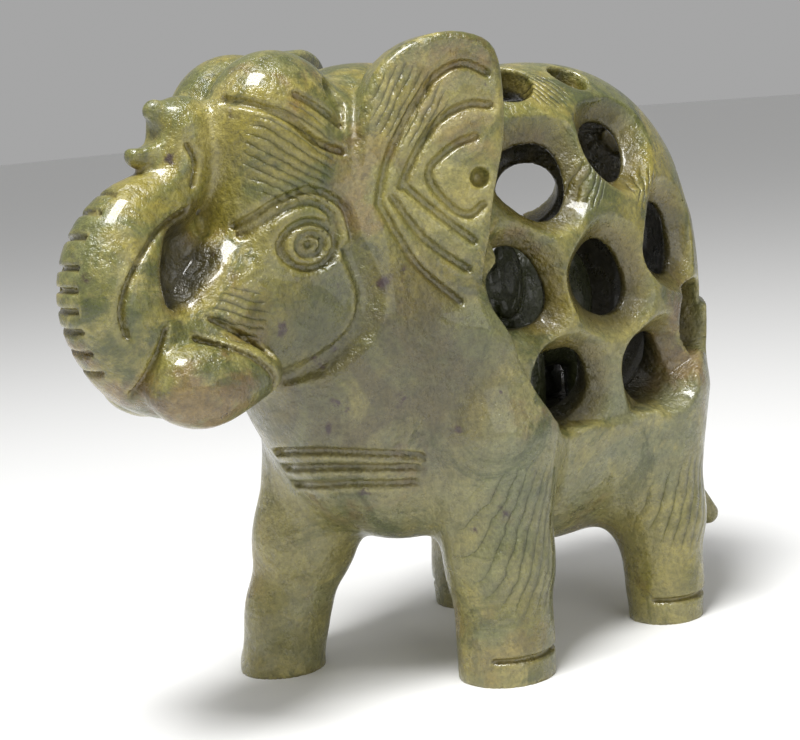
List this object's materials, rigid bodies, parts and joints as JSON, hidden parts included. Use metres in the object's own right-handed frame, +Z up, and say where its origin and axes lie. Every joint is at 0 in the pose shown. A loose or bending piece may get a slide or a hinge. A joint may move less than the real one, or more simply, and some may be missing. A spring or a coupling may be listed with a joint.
{
  "type": "elephant sculpture",
  "caption": "Small standing elephant carved from soapstone, trunk curled up to the forehead, with a pierced hollow body and a smaller elephant loose inside.",
  "frame": {"origin": "middle of the sculpture's footprint box, on the surface it stands on", "axes": "+Z up, the elephant faces -Y, its left side is +X"},
  "size_m": [0.0396, 0.0994, 0.075],
  "materials": {
    "soapstone": "waxed, mottled yellow-green and grey-green",
    "inner_soapstone": "waxed, darker olive"
  },
  "bodies": {
    "root": {"elephant": "soapstone", "inner_elephant": "inner_soapstone"}
  },
  "joints": []
}
